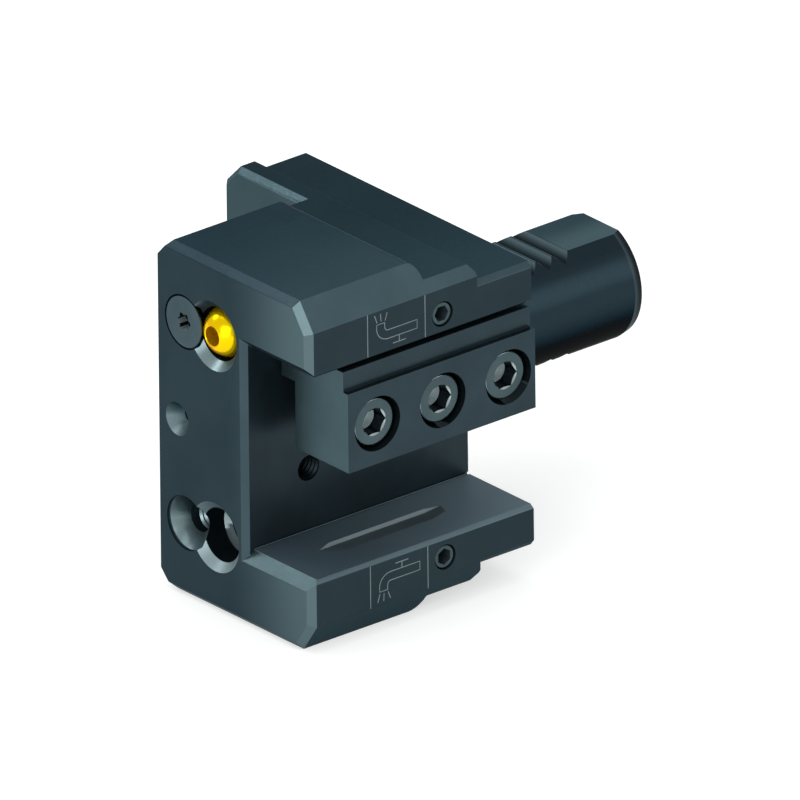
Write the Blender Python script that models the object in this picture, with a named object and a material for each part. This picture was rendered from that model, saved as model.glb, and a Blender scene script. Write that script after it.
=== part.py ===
"""A VDI 25 tool holder for square turning tools, with teeth on both sides of its shank.

The frame's origin is where the shank's axis meets the flange's rear face. +Y runs along the shank, away from
the tool, +X points out of the tool slot and +Z is up. All sizes are in millimetres and are turned into metres
where a mesh is made.
"""

import math

import bmesh
import bpy
from mathutils import Matrix, Vector

MM = 0.001
GAP = 0.3  # clearance between pieces that touch on the real holder

# Shank
SHANK_D = 25.0
SHANK_LENGTH = 48.6
SHANK_FLAT_HEIGHT = 10.9  # from the axis up to the flat that the teeth are cut into
SHANK_LEAD_IN = (0.45, 2.0)  # radial size and length of the bevel at the end
TOOTH_PITCH = 4.0
TOOTH_COUNT = 4
TOOTH_DEPTH = 1.5
TOOTH_REAR_RUN = 2.1  # length of a tooth gap's longer slope, on its rear side
TOOTH_FRONT_RUN = 1.6
TOOTH_LAST = 35.1  # rear edge of the last tooth gap, from the flange
CENTRE_HOLE = (6.8, 3.15, 8.0)  # mouth, pilot bore and depth of a 60 degree centre hole
CENTRE_HOLE_FRONT_X = -1.8

# Body
BODY_FRONT = -55.5
BODY_LEFT = -7.3
BODY_RIGHT = 37.6
BODY_HALF_HEIGHT = 36.6
BODY_CORNER = (4.0, 5.8)  # long corner chamfers, along X and Z
BODY_EDGE = 1.4
BODY_TOP_REAR = -28.1
BODY_TOP_ROUND = 2.7
WEB_RIGHT = 18.1
WEB_EDGE = 1.2

# Step between the body's head and its flange
RIB_FRONT = -19.2
RIB_HALF_HEIGHT = 33.2
RIB_LEFT = -31.4
RIB_CORNER = 4.2
RIB_EDGE = 1.2
RIB_REAR_EDGE = (1.3, 1.6)
FLANGE_THICKNESS = 13.3
FLANGE_LEFT = -29.5
FLANGE_HALF_HEIGHT = 29.8
FLANGE_EDGE = (1.0, 1.2)

# Tool slot
SEAT_Z = 21.2
SEAT_SIDE_EDGE = (0.9, 0.65)
SEAT_FRONT_EDGE = (2.2, 2.2)
POCKET_LEFT = WEB_RIGHT + 7.0
POCKET_DEPTH = 0.6
POCKET_RIM = ((1.5, -44.1), (0.0, -40.6), (0.0, -17.2), (0.8, -14.2), (3.5, -14.4), (4.7, -18.8), (4.7, -39.6),
              (3.6, -42.4))  # X from its steep side, and Y
POCKET_KEEL = (-40.9, -17.6)  # front and rear end of its deepest line

# Clamp bar and its screws
BAR_FRONT = -46.9
BAR_REAR = -GAP
BAR_BOTTOM = -0.2
BAR_TOP = SEAT_Z - 0.6
BAR_LIP_LEFT = WEB_RIGHT + 1.0
BAR_LIP_Z = BAR_TOP - 6.8
BAR_LEFT = BAR_LIP_LEFT + 4.0
BAR_RIGHT = BODY_RIGHT + 1.3
BAR_LEDGE = 1.35
BAR_LEDGE_Z = BAR_TOP - 4.2
WEDGE_LENGTH = 20.0
SCREW_Y = (-39.6, -23.3, -7.0)
SCREW_Z = (BAR_BOTTOM + BAR_LEDGE_Z) / 2 + 0.1  # the middle of the bar's outer face
CLAMP_TRAVEL = 0.64  # of the bar, to the web and down, when its screws are drawn tight
THREAD_D = 6.0
THREAD_CORE_D = 5.0
HEAD_D = 9.8
HEAD_HEIGHT = 6.0
HEAD_SUNK = 1.0
COUNTERBORE_D = HEAD_D + 2 * CLAMP_TRAVEL + 0.22
SCREW_LENGTH = 25.0
HEX_SIZE = 5.0
HEX_DEPTH = 3.0
TAPPED_DEPTH = 16.0

# Coolant nozzle
NOZZLE_X = 9.1
NOZZLE_Z = 21.1
BALL_D = 10.5
BALL_SUNK = 4.5  # depth of the ball's centre behind the front face
NOZZLE_BORE = 4.0
NOZZLE_SEAT_D = BALL_D + 0.5
NOZZLE_MOUTH_D = NOZZLE_SEAT_D + 3.3
SUPPLY_D = 6.0
SEAL_THICKNESS = 1.1
HOLD_HEAD_D = 10.4
HOLD_RIM = 0.3
HOLD_SINK_D = HOLD_HEAD_D + 0.8
SINK_RIM = 0.8  # depth of the sink before its cone begins
HOLD_GAP = 0.195  # between the ball and the cone of the head that holds it
HOLD_SCREW_X = NOZZLE_X + BALL_SUNK - HOLD_HEAD_D / 2 - HOLD_RIM - math.sqrt(2) * (BALL_D / 2 + HOLD_GAP)
HOLD_LENGTH = 12.0
TORX_D = 3.9
TORX_DEPTH = 2.0

# Coolant valves
VALVE_Y = -22.1
VALVE_Z = 25.5
VALVE_BORE = 5.2
VALVE_D = VALVE_BORE - 0.2
VALVE_SUNK = 0.3
VALVE_LEFT = 4.0
VALVE_PORT = 2.4
VALVE_HEX = 3.0
VALVE_SEAL_X = 15.5
INLET_X = 0.0
INLET_D = 4.5

# Seal ring round the shank, in the flange's rear face
RING_D = 32.0
RING_THICKNESS = 2.0

STEEL = ("blackened_steel", (0.035, 0.052, 0.062), 0.42, 1.0)
BAR_STEEL = ("blackened_bar_steel", (0.043, 0.066, 0.076), 0.40, 1.0)
SCREW_STEEL = ("blackened_screw_steel", (0.048, 0.066, 0.072), 0.35, 1.0)
BRASS = ("brass", (0.86, 0.62, 0.10), 0.22, 1.0)
RUBBER = ("nitrile_rubber", (0.012, 0.012, 0.013), 0.7, 0.0)


def make_material(finish):
    """Makes the Principled material of one finish, or returns the one that is there."""
    name, colour, roughness, metallic = finish
    material = bpy.data.materials.get(name)
    if material is None:
        material = bpy.data.materials.new(name)
        material.use_nodes = True
        shader = material.node_tree.nodes["Principled BSDF"]
        shader.inputs["Base Color"].default_value = (*colour, 1.0)
        shader.inputs["Roughness"].default_value = roughness
        shader.inputs["Metallic"].default_value = metallic
    return material


def make_object(name, bm, finish):
    """Turns a finished bmesh, in millimetres, into an object with one material."""
    bmesh.ops.recalc_face_normals(bm, faces=bm.faces)
    bmesh.ops.scale(bm, vec=Vector((MM, MM, MM)), verts=bm.verts)
    mesh = bpy.data.meshes.new(name)
    bm.to_mesh(mesh)
    bm.free()
    mesh.materials.append(make_material(finish))
    piece = bpy.data.objects.new(name, mesh)
    bpy.context.scene.collection.objects.link(piece)
    return piece


def prism(name, outline, axis, start, end, finish=STEEL, bevel=0.0, bevel_where=None):
    """Extrudes a closed outline along an axis. bevel_where picks the edges to bevel by their middle point."""
    order = {"X": lambda u, v, w: (w, u, v), "Y": lambda u, v, w: (u, w, v), "Z": lambda u, v, w: (u, v, w)}[axis]
    bm = bmesh.new()
    base = bm.faces.new([bm.verts.new(order(u, v, start)) for u, v in outline])
    grown = bmesh.ops.extrude_face_region(bm, geom=[base])
    moved = [item for item in grown["geom"] if isinstance(item, bmesh.types.BMVert)]
    bmesh.ops.translate(bm, verts=moved, vec=Vector(order(0.0, 0.0, end - start)))
    if bevel_where is not None:
        picked = [edge for edge in bm.edges if bevel_where((edge.verts[0].co + edge.verts[1].co) / 2)]
        bmesh.ops.bevel(bm, geom=picked, offset=bevel, offset_type="OFFSET", segments=1, affect="EDGES")
    return make_object(name, bm, finish)


def revolve(name, profile, finish=STEEL, steps=32, closed=False):
    """Spins a profile of (radius, height) points about the local Z axis."""
    bm = bmesh.new()
    points = [bm.verts.new((radius, 0.0, height)) for radius, height in profile]
    pairs = list(zip(points, points[1:])) + ([(points[-1], points[0])] if closed else [])
    edges = [bm.edges.new(pair) for pair in pairs]
    bmesh.ops.spin(bm, geom=points + edges, cent=(0, 0, 0), axis=(0, 0, 1), angle=math.tau, steps=steps)
    bmesh.ops.remove_doubles(bm, verts=bm.verts, dist=1e-4)
    piece = make_object(name, bm, finish)
    piece.data.shade_smooth()
    piece.data.set_sharp_from_angle(angle=math.radians(35))
    return piece


def ring_profile(radius, thickness, steps=12):
    """The round section of a seal ring, as a closed loop of points."""
    turn = [math.tau * i / steps for i in range(steps)]
    return [(radius + thickness / 2 * math.cos(a), thickness / 2 * math.sin(a)) for a in turn]


def hole_profile(*steps):
    """A stepped bore's profile, from (diameter, depth) pairs, that starts just outside its mouth."""
    clear = 1.0
    points = [(0.0, clear), (steps[0][0] / 2, clear)]
    points += [(diameter / 2, -depth) for diameter, depth in steps]
    return points + [(0.0, points[-1][1])]


AIM = {
    "+X": Matrix.Rotation(math.radians(90), 4, "Y"),
    "-X": Matrix.Rotation(math.radians(-90), 4, "Y"),
    "+Y": Matrix.Rotation(math.radians(-90), 4, "X"),
    "-Y": Matrix.Rotation(math.radians(90), 4, "X"),
    "+Z": Matrix.Identity(4),
}


def place(piece, at, aim="+Z", turn=0.0):
    """Moves a piece so that its origin is at a point and its local Z axis looks along an axis."""
    piece.matrix_world = Matrix.Translation(Vector(at) * MM) @ AIM[aim] @ Matrix.Rotation(turn, 4, "Z")
    return piece


def combine(piece, operation, tools):
    """Joins tools to a piece, or cuts them out of it, and leaves them out of the render."""
    for tool in tools:
        modifier = piece.modifiers.new(tool.name, "BOOLEAN")
        modifier.operation = operation
        modifier.solver = "EXACT"
        modifier.object = tool
        tool.hide_render = True
        tool.display_type = "WIRE"


def polygon(size, sides):
    """A regular polygon's outline, from its size across the flats."""
    radius = size / 2 / math.cos(math.pi / sides)
    return [(radius * math.cos(math.tau * (i + 0.5) / sides), radius * math.sin(math.tau * (i + 0.5) / sides))
            for i in range(sides)]


def torx(size, points=48):
    """A six-lobed star's outline, from its size across the lobes."""
    lobe = size * 0.065
    outline = []
    for i in range(points):
        angle = math.tau * i / points
        radius = size / 2 - lobe + lobe * math.cos(6 * angle)
        outline.append((radius * math.cos(angle), radius * math.sin(angle)))
    return outline


def body_section():
    """The head's section across Y, with its four long corner chamfers."""
    across, down = BODY_CORNER
    top = BODY_HALF_HEIGHT
    half = [(BODY_LEFT, top - down), (BODY_LEFT + across, top), (BODY_RIGHT - across, top), (BODY_RIGHT, top - down)]
    return half + [(x, -z) for x, z in reversed(half)]


def step_outline(side):
    """What is milled off the head's top or bottom to leave the rounded rear edge and the lower step."""
    radius = BODY_TOP_ROUND
    outside = BODY_HALF_HEIGHT + 2.0
    drop, back = BODY_HALF_HEIGHT - RIB_HALF_HEIGHT, BODY_TOP_REAR
    arc = [math.pi / 2 * (1 - i / 5) for i in range(6)]
    outline = [(back, outside)]
    outline += [(back + radius * math.cos(a), BODY_HALF_HEIGHT - drop + drop * math.sin(a)) for a in arc]
    rear = -FLANGE_THICKNESS
    slope = RIB_REAR_EDGE[1] / RIB_REAR_EDGE[0]
    past = 0.8
    outline += [(rear - RIB_REAR_EDGE[0], RIB_HALF_HEIGHT),
                (rear + past, RIB_HALF_HEIGHT - RIB_REAR_EDGE[1] - past * slope), (rear + past, outside)]
    return [(y, side * z) for y, z in outline]


def slot_section():
    """The tool slot's section across Y, with the bevels on its two outer edges."""
    across, down = SEAT_SIDE_EDGE
    past = 2.0
    half = [(WEB_RIGHT, SEAT_Z), (BODY_RIGHT - across, SEAT_Z),
            (BODY_RIGHT + past, SEAT_Z + down * (across + past) / across)]
    return half + [(x, -z) for x, z in reversed(half)]


def make_pocket(side):
    """The shallow pocket in a seat. It is deepest along its steep side, next to the web, and runs out from there."""
    bm = bmesh.new()
    lift = 1.0
    points = [(POCKET_LEFT + x, y, side * z) for x, y in POCKET_RIM for z in (SEAT_Z, SEAT_Z - lift)]
    points += [(POCKET_LEFT + POCKET_DEPTH, y, side * (SEAT_Z + POCKET_DEPTH)) for y in POCKET_KEEL]
    bmesh.ops.convex_hull(bm, input=[bm.verts.new(point) for point in points])
    return make_object(f"cut_pocket_{'upper' if side > 0 else 'lower'}", bm, STEEL)


def make_shank():
    """The ground cylindrical shank, reaching a little way into the flange that it is one piece with."""
    radius = SHANK_D / 2
    inset, length = SHANK_LEAD_IN
    sunk = 2.0
    profile = [(0.0, -sunk), (radius, -sunk), (radius, SHANK_LENGTH - length),
               (radius - inset, SHANK_LENGTH), (0.0, SHANK_LENGTH)]
    return place(revolve("part_shank", profile, steps=72), (0, 0, 0), "+Y")


def shank_cuts():
    """The toothed flats on the shank's two sides, and the centre hole in its end."""
    cuts = []
    reach = SHANK_D / 2 + 1.0
    for side, word in ((1, "upper"), (-1, "lower")):
        floor = SHANK_FLAT_HEIGHT - TOOTH_DEPTH
        span = TOOTH_PITCH - TOOTH_REAR_RUN - TOOTH_FRONT_RUN
        first = TOOTH_LAST - TOOTH_COUNT * TOOTH_PITCH + span
        outline = [(first, reach)]
        for i in range(TOOTH_COUNT):
            front = first + i * TOOTH_PITCH
            outline += [(front, SHANK_FLAT_HEIGHT), (front + TOOTH_FRONT_RUN, floor),
                        (front + TOOTH_PITCH - span, SHANK_FLAT_HEIGHT)]
        outline += [(SHANK_LENGTH + 1.0, SHANK_FLAT_HEIGHT), (SHANK_LENGTH + 1.0, reach)]
        cuts.append(prism(f"cut_teeth_{word}", [(y, side * z) for y, z in outline], "X", -reach, reach))
    mouth, pilot, depth = CENTRE_HOLE
    cone = (mouth - pilot) / 2 / math.tan(math.radians(30))
    profile = hole_profile((mouth, 0.0), (pilot, cone), (pilot, depth))
    cuts.append(place(revolve("cut_centre_rear", profile), (0, SHANK_LENGTH, 0), "+Y"))
    cuts.append(place(revolve("cut_centre_front", profile), (CENTRE_HOLE_FRONT_X, BODY_FRONT, 0), "-Y"))
    return cuts


def slot_cuts():
    """The tool slot through the head and the flange, with its bevels and its two pockets."""
    past = 2.0
    cuts = [prism("cut_slot", slot_section(), "Y", BODY_FRONT - past, past)]
    corner = [(WEB_RIGHT - WEB_EDGE - past, BODY_FRONT - past), (WEB_RIGHT + past, BODY_FRONT + WEB_EDGE + past),
              (WEB_RIGHT + past, BODY_FRONT - past)]
    back, down = SEAT_FRONT_EDGE
    cuts.append(prism("cut_web_edge", corner, "Z", -SEAT_Z - down, SEAT_Z + down))
    for side, word in ((1, "upper"), (-1, "lower")):
        grow = (back + past) / back
        wedge = [(BODY_FRONT + back, side * SEAT_Z), (BODY_FRONT - past, side * (SEAT_Z + down * grow)),
                 (BODY_FRONT - past, side * SEAT_Z)]
        cuts.append(prism(f"cut_seat_edge_{word}", wedge, "X", WEB_RIGHT, BODY_RIGHT + past))
        cuts.append(make_pocket(side))
    return cuts


def screw_holes():
    """Two rows of tapped holes in the web, so that the clamp bar can be fitted at the top or the bottom."""
    cuts = []
    core = THREAD_CORE_D + GAP
    profile = hole_profile((core, 0.0), (core, TAPPED_DEPTH - core / 4), (0.0, TAPPED_DEPTH))
    for row, z in (("upper", SCREW_Z), ("lower", -SCREW_Z)):
        for i, y in enumerate(SCREW_Y):
            cuts.append(place(revolve(f"cut_tapped_{row}_{i}", profile), (WEB_RIGHT, y, z), "+X"))
    return cuts


def coolant_cuts():
    """Each side's nozzle seat, hold-down screw hole, valve bore, and the drillings that join them."""
    cuts = []
    radius = BALL_D / 2 + GAP
    cone_sum = radius * math.sqrt(2) + BALL_SUNK  # radius plus depth along the 45 degree seat behind the ball
    pocket = SUPPLY_D / 2 + GAP + SEAL_THICKNESS
    seat = hole_profile(
        (NOZZLE_MOUTH_D, 0.0),
        (NOZZLE_SEAT_D, (NOZZLE_MOUTH_D - NOZZLE_SEAT_D) / 2),
        (NOZZLE_SEAT_D, cone_sum - NOZZLE_SEAT_D / 2),
        (2 * pocket, cone_sum - pocket),
        (2 * pocket, seal_depth() + SEAL_THICKNESS / 2 + 0.1),
        (SUPPLY_D, seal_depth() + SEAL_THICKNESS / 2 + 0.1),
        (SUPPLY_D, VALVE_Y - BODY_FRONT + VALVE_BORE / 2 - 0.3),
    )
    rim = SINK_RIM
    thread = THREAD_CORE_D + 2 * GAP
    sink = hole_profile((HOLD_SINK_D, 0.0), (HOLD_SINK_D, rim), (thread, rim + (HOLD_SINK_D - thread) / 2),
                        (thread, HOLD_LENGTH + 2.0), (0.0, HOLD_LENGTH + 3.4))
    valve = hole_profile((VALVE_BORE, 0.0), (VALVE_BORE, BODY_RIGHT - INLET_X + 1.0),
                         (0.0, BODY_RIGHT - INLET_X + 2.4))
    inlet = hole_profile((INLET_D + 1.0, 0.0), (INLET_D, 0.5), (INLET_D, -VALVE_Y + 1.2))
    for side, word in ((1, "upper"), (-1, "lower")):
        cuts += [
            place(revolve(f"cut_sink_{word}", sink, steps=40), (HOLD_SCREW_X, BODY_FRONT, side * NOZZLE_Z), "-Y"),
            place(revolve(f"cut_nozzle_{word}", seat, steps=40), (NOZZLE_X, BODY_FRONT, side * NOZZLE_Z), "-Y"),
            place(revolve(f"cut_valve_{word}", valve), (BODY_RIGHT, VALVE_Y, side * VALVE_Z), "+X"),
            place(revolve(f"cut_inlet_{word}", inlet), (INLET_X, 0, side * VALVE_Z), "+Y"),
        ]
    return cuts


def seal_depth():
    """Depth of the seal ring behind the ball, which it clears by a hair all round."""
    ring = SUPPLY_D / 2 + GAP / 2 + SEAL_THICKNESS / 2
    reach = BALL_D / 2 + SEAL_THICKNESS / 2 + 0.1
    return BALL_SUNK + math.sqrt(reach * reach - ring * ring)


def make_body():
    """The holder itself, milled and turned from one piece of steel."""
    across = BODY_CORNER[0]

    def front_edge(middle):
        return middle.y < BODY_FRONT + 0.01 and middle.x > BODY_LEFT + across

    body = prism("holder_body", body_section(), "Y", BODY_FRONT, -FLANGE_THICKNESS,
                 bevel=BODY_EDGE, bevel_where=front_edge)
    steps = [prism(f"cut_step_{word}", step_outline(side), "X", BODY_LEFT - 1.0, BODY_RIGHT + 1.0)
             for side, word in ((1, "upper"), (-1, "lower"))]
    combine(body, "DIFFERENCE", steps)

    top, corner = RIB_HALF_HEIGHT, RIB_CORNER
    half = [(BODY_LEFT + across, top), (RIB_LEFT + corner, top), (RIB_LEFT, top - corner)]
    rib = prism("part_rib", half + [(x, -z) for x, z in reversed(half)], "Y", RIB_FRONT, -FLANGE_THICKNESS,
                bevel=RIB_EDGE, bevel_where=lambda m: m.y < RIB_FRONT + 0.01 and m.x < BODY_LEFT + across - 0.01)
    back, down = RIB_REAR_EDGE
    past = 1.0
    trims = []
    for side, word in ((1, "upper"), (-1, "lower")):
        wedge = [(-FLANGE_THICKNESS - back - past, side * (top + past * down / back)),
                 (-FLANGE_THICKNESS + past, side * (top - down - past * down / back)),
                 (-FLANGE_THICKNESS + past, side * (top + past * down / back))]
        trims.append(prism(f"cut_rib_{word}", wedge, "X", RIB_LEFT - 1.0, BODY_LEFT + across + 1.0))
    combine(rib, "DIFFERENCE", trims)

    side_in, side_down = FLANGE_EDGE
    half = [(FLANGE_LEFT, FLANGE_HALF_HEIGHT), (BODY_RIGHT - side_in, FLANGE_HALF_HEIGHT),
            (BODY_RIGHT, FLANGE_HALF_HEIGHT - side_down)]
    flange = prism("part_flange", half + [(x, -z) for x, z in reversed(half)], "Y", -FLANGE_THICKNESS - 2.0, 0.0)
    combine(body, "UNION", [rib, flange, make_shank()])

    inner, outer = RING_D / 2 - RING_THICKNESS / 2 - 0.2, RING_D / 2 + RING_THICKNESS / 2 + 0.2
    floor = -RING_THICKNESS * 0.95 - 0.2
    groove = [(inner, floor), (outer, floor), (outer, 1.0), (inner, 1.0)]
    ring_groove = place(revolve("cut_ring_groove", groove, steps=48, closed=True), (0, 0, 0), "+Y")
    combine(body, "DIFFERENCE", shank_cuts() + slot_cuts() + screw_holes() + coolant_cuts() + [ring_groove])
    return body


def make_clamp_bar():
    """The clamp bar: a stepped steel strip whose wedge rib rides down the steep side of the upper pocket."""
    section = [(BAR_LEFT, BAR_BOTTOM), (BAR_RIGHT, BAR_BOTTOM), (BAR_RIGHT, BAR_LEDGE_Z),
               (BAR_RIGHT - BAR_LEDGE, BAR_LEDGE_Z), (BAR_RIGHT - BAR_LEDGE, BAR_TOP), (BAR_LIP_LEFT, BAR_TOP),
               (BAR_LIP_LEFT, BAR_LIP_Z), (BAR_LEFT, BAR_LIP_Z)]
    bar = prism("clamp_bar", section, "Y", BAR_FRONT, BAR_REAR, BAR_STEEL)

    sunk, rise, crest, foot = 1.0, 0.3, 0.5, 2.2
    tip_z = SEAT_Z + rise
    tip_x = POCKET_LEFT + rise + GAP * math.sqrt(2)
    fall = tip_z - BAR_TOP
    wedge = [(tip_x - fall - sunk, BAR_TOP - sunk), (tip_x, tip_z), (tip_x + crest, tip_z),
             (tip_x + crest + foot, BAR_TOP), (tip_x + crest + foot, BAR_TOP - sunk)]
    middle = sum(POCKET_KEEL) / 2
    rib = prism("part_wedge", wedge, "Y", middle - WEDGE_LENGTH / 2, middle + WEDGE_LENGTH / 2, BAR_STEEL)
    combine(bar, "UNION", [rib])

    head_floor = HEAD_SUNK + HEAD_HEIGHT + GAP
    clear = THREAD_D + 2 * (CLAMP_TRAVEL + 0.1)
    profile = hole_profile((COUNTERBORE_D, 0.0), (COUNTERBORE_D, head_floor), (clear, head_floor),
                           (clear, BAR_RIGHT - BAR_LEFT + 1.0))
    holes = [place(revolve(f"cut_bar_{i}", profile, steps=40), (BAR_RIGHT, y, SCREW_Z), "+X")
             for i, y in enumerate(SCREW_Y)]
    combine(bar, "DIFFERENCE", holes)
    return bar


def make_clamp_screw(word, y):
    """A socket head cap screw through the bar, into the web's tapped hole."""
    head, edge = HEAD_D / 2, 0.5
    under = -HEAD_HEIGHT
    web = WEB_RIGHT - (BAR_RIGHT - HEAD_SUNK) + GAP
    tip = under - SCREW_LENGTH
    core = (THREAD_CORE_D - GAP) / 2
    profile = [(0.0, 0.0), (head - edge, 0.0), (head, -edge), (head, under), (THREAD_D / 2, under),
               (THREAD_D / 2, web + 0.5), (core, web), (core, tip + 0.6), (core - 0.6, tip), (0.0, tip)]
    screw = revolve(f"clamp_screw_{word}", profile, SCREW_STEEL)
    place(screw, (BAR_RIGHT - HEAD_SUNK, y, SCREW_Z), "+X")
    socket = prism(f"cut_hex_{word}", polygon(HEX_SIZE, 6), "Z", -HEX_DEPTH, 1.0)
    place(socket, (BAR_RIGHT - HEAD_SUNK, y, SCREW_Z), "+X")
    combine(screw, "DIFFERENCE", [socket])
    return screw


def make_nozzle():
    """The brass ball nozzle, the countersunk screw whose head holds it, and the seal ring behind it."""
    centre = (NOZZLE_X, BODY_FRONT + BALL_SUNK, NOZZLE_Z)
    radius, bore = BALL_D / 2, NOZZLE_BORE / 2
    start = math.asin(bore / radius)
    steps = 16
    angles = [start + (math.pi - 2 * start) * i / steps for i in range(steps + 1)]
    profile = [(radius * math.sin(a), radius * math.cos(a)) for a in angles]
    ball = place(revolve("nozzle_ball", profile, BRASS, steps=40, closed=True), centre, "-Y")

    head, rim, shank = HOLD_HEAD_D / 2, HOLD_RIM, THREAD_CORE_D / 2
    cone = rim + head - shank
    profile = [(0.0, 0.0), (head, 0.0), (head, -rim), (shank, -cone), (shank, 0.4 - HOLD_LENGTH),
               (shank - 0.4, -HOLD_LENGTH), (0.0, -HOLD_LENGTH)]
    at = (HOLD_SCREW_X, BODY_FRONT + 0.05, NOZZLE_Z)
    screw = place(revolve("nozzle_screw", profile, SCREW_STEEL, steps=40), at, "-Y")
    socket = place(prism("cut_torx", torx(TORX_D), "Z", -TORX_DEPTH, 1.0), at, "-Y")
    combine(screw, "DIFFERENCE", [socket])

    ring = SUPPLY_D / 2 + GAP / 2 + SEAL_THICKNESS / 2
    seal = revolve("nozzle_seal", ring_profile(ring, SEAL_THICKNESS), RUBBER, steps=36, closed=True)
    place(seal, (NOZZLE_X, BODY_FRONT + seal_depth(), NOZZLE_Z), "-Y")
    return [ball, screw, seal]


def make_valve(side, word, turn):
    """A threaded valve plug: coolant enters its hollow end and leaves by a side port that a quarter-turn shuts."""
    radius = VALVE_D / 2
    groove = VALVE_D / 2 - 1.1
    front = BODY_RIGHT - VALVE_SUNK
    length = front - VALVE_LEFT
    ring_at, ring = front - VALVE_SEAL_X, 1.1
    wall = ring / 2 + 0.15
    profile = [(0.0, 0.0), (radius - 0.3, 0.0), (radius, -0.3), (radius, wall - ring_at), (groove, wall - ring_at),
               (groove, -ring_at - wall), (radius, -ring_at - wall), (radius, -length), (0.0, -length)]
    spindle = revolve(f"valve_spindle_{word}", profile, SCREW_STEEL)
    place(spindle, (front, VALVE_Y, side * VALVE_Z), "+X", turn)

    socket = prism(f"cut_valve_hex_{word}", polygon(VALVE_HEX, 6), "Z", -VALVE_HEX, 1.0)
    place(socket, (front, VALVE_Y, side * VALVE_Z), "+X", turn)
    port = VALVE_PORT / 2
    deep = NOZZLE_X + port - VALVE_LEFT
    axial = revolve(f"cut_valve_axial_{word}", [(0.0, -1.0), (port, -1.0), (port, deep), (0.0, deep)], steps=20)
    place(axial, (VALVE_LEFT, VALVE_Y, side * VALVE_Z), "+X")
    outlet = revolve(f"cut_valve_port_{word}", [(0.0, 0.0), (port * 0.9, 0.0), (port * 0.9, radius + 1.0),
                                                (0.0, radius + 1.0)], steps=20)
    toward = Matrix.Rotation(math.pi if side > 0 else 0.0, 4, "X") @ Matrix.Rotation(turn, 4, "X")
    outlet.matrix_world = Matrix.Translation(Vector((NOZZLE_X, VALVE_Y, side * VALVE_Z)) * MM) @ toward
    combine(spindle, "DIFFERENCE", [socket, axial, outlet])

    inner = groove + 0.15
    seal_radius = (inner + VALVE_BORE / 2 - 0.1) / 2
    thickness = VALVE_BORE / 2 - 0.1 - inner
    seal = revolve(f"valve_seal_{word}", ring_profile(seal_radius, thickness), RUBBER, steps=28, closed=True)
    place(seal, (VALVE_SEAL_X, VALVE_Y, side * VALVE_Z), "+X")
    return [spindle, seal]


def make_flange_seal():
    """The seal ring that lies in the flange's rear face round the shank."""
    ring = revolve("flange_seal", ring_profile(RING_D / 2, RING_THICKNESS, 10), RUBBER, steps=40, closed=True)
    return place(ring, (0, -RING_THICKNESS * 0.45, 0), "+Y")


for old in list(bpy.data.objects):
    bpy.data.objects.remove(old, do_unlink=True)

make_body()
make_clamp_bar()
for screw_word, screw_y in zip(("front", "middle", "rear"), SCREW_Y):
    make_clamp_screw(screw_word, screw_y)
make_nozzle()
make_valve(1, "upper", 0.0)
make_valve(-1, "lower", math.pi / 2)
make_flange_seal()
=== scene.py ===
import math

import bpy
from mathutils import Matrix, Vector


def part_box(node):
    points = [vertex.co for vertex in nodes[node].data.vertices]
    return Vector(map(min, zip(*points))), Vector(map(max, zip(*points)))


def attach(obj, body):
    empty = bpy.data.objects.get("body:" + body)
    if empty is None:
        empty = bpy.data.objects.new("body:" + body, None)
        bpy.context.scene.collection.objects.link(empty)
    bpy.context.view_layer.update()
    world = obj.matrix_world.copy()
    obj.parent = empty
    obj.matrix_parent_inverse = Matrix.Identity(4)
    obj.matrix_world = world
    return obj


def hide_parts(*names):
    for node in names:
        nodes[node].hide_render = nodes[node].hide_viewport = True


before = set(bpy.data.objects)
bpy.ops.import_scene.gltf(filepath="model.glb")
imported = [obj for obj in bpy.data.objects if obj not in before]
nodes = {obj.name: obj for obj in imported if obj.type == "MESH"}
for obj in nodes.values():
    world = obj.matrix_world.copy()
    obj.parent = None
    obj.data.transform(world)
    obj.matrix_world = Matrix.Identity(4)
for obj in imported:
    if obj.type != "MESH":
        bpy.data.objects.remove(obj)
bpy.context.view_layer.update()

# Holder body
# The head, the flange and the shank are milled, turned and ground from one bar of tempering steel. It is then
# blackened in a hot salt bath and oiled, which leaves a satin blue-green grey. Its long edges are broken.
MM = 0.001


def linear(code):
    """An sRGB hex colour as the linear RGBA that a shader takes."""
    parts = [int(code[i:i + 2], 16) / 255 for i in (1, 3, 5)]
    return tuple(c / 12.92 if c <= 0.04045 else ((c + 0.055) / 1.055) ** 2.4 for c in parts) + (1.0,)


def add(tree, kind, settings=(), links=()):
    """Adds a node. Settings name its properties or sockets, links name a socket and what feeds it."""
    node = tree.nodes.new(kind)
    for key, value in dict(settings).items():
        if isinstance(key, str) and hasattr(node, key):
            setattr(node, key, value)
        else:
            node.inputs[key].default_value = value
    for key, source in dict(links).items():
        tree.links.new(source, node.inputs[key])
    return node


# The salt bath leaves clouds about 17 mm across. Milling marks are drawn 0.24 mm apart and grinding marks 0.19 mm,
# both coarser than the real 0.05 mm, which would be lost at this size. Turned, bored and drilled faces have a grain
# of 0.7 mm. All are numbers to a metre, along X, Y and Z.
CLOUDS = 60.0
MILLED = (900.0, 900.0, 4200.0)
GROUND_SEAT = (5200.0, 500.0, 900.0)
GROUND_SHANK = (700.0, 5200.0, 700.0)
TURNED = (1500.0, 1500.0, 1500.0)


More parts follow.
